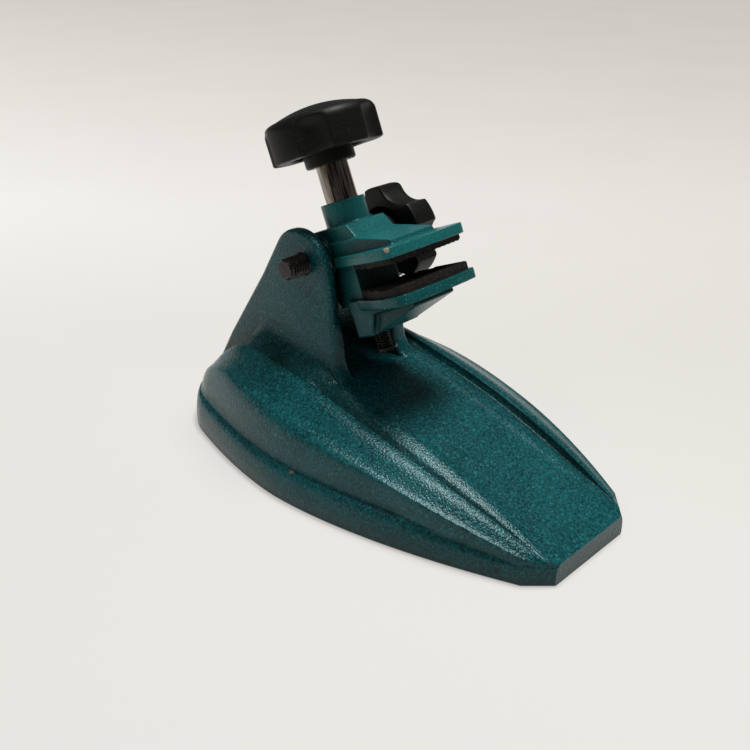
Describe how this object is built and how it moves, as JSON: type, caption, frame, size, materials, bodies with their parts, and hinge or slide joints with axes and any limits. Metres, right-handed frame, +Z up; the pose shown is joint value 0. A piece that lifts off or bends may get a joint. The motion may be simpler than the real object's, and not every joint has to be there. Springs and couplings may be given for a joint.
{
  "type": "micrometer stand",
  "caption": "Heavy painted bench stand with a tapering base and a tilting clamp between ears; a screw knob closes toothed jaws on a micrometer frame and a side knob locks the tilt",
  "frame": {"origin": "the middle of the base's footprint, on the surface that it stands on", "axes": "+X across the stand towards the lock knob, -Y to the narrow front that the jaws reach over, +Z up"},
  "size_m": [0.102, 0.18, 0.1333],
  "materials": {
    "base_paint": "cast iron in dark teal hammertone paint with a metallic speckle",
    "jaw_paint": "cast iron in smoother, lighter teal paint",
    "black_plastic": "satin black moulded plastic",
    "pad_rubber": "black toothed rubber",
    "bright_steel": "polished steel",
    "black_oxide": "blackened steel",
    "insert_brass": "turned brass, hidden in the knobs"
  },
  "bodies": {
    "base": {"base_casting": "base_paint", "friction_washer_left": "black_oxide", "friction_washer_right": "black_oxide"},
    "clamp": {"upper_jaw": "jaw_paint", "upper_pad": "pad_rubber"},
    "clamp_screw": {"clamp_screw": "bright_steel", "clamp_knob": "black_plastic", "clamp_knob_insert": "insert_brass", "thrust_washer": "bright_steel", "screw_stop_ring": "black_oxide"},
    "lower_jaw": {"lower_jaw": "jaw_paint", "lower_pad": "pad_rubber"},
    "lock_washer": {"lock_washer": "bright_steel"},
    "lock_knob": {"lock_knob": "black_plastic", "lock_knob_insert": "insert_brass", "lock_stud": "black_oxide"}
  },
  "joints": [
    {"name": "clamp_tilt", "type": "hinge", "parent": "base", "child": "clamp", "pos_m": [0, 0.03, 0.0766], "axis": [-1, 0, 0], "range_deg": [-20, 60]},
    {"name": "screw_turn", "type": "hinge", "parent": "clamp", "child": "clamp_screw", "pos_m": [0, 0.02, 0.08095], "axis": [0, -0.3987, -0.9171], "range_deg": [-720, 2592]},
    {"name": "jaw_slide", "type": "slide", "parent": "clamp", "child": "lower_jaw", "axis": [0, 0.3987, 0.9171], "range_m": [-0.002, 0.0072]},
    {"name": "lock_slide", "type": "slide", "parent": "base", "child": "lock_washer", "axis": [1, 0, 0], "range_m": [0, 0.00125]},
    {"name": "lock_turn", "type": "hinge", "parent": "lock_washer", "child": "lock_knob", "pos_m": [0.0188, 0.03, 0.0766], "axis": [1, 0, 0], "range_deg": [0, 360]}
  ],
  "couplings": [
    {"joint": "screw_turn", "follows": "jaw_slide", "rad_per_m": 6283.2},
    {"joint": "lock_turn", "follows": "lock_slide", "rad_per_m": 5026.5}
  ]
}
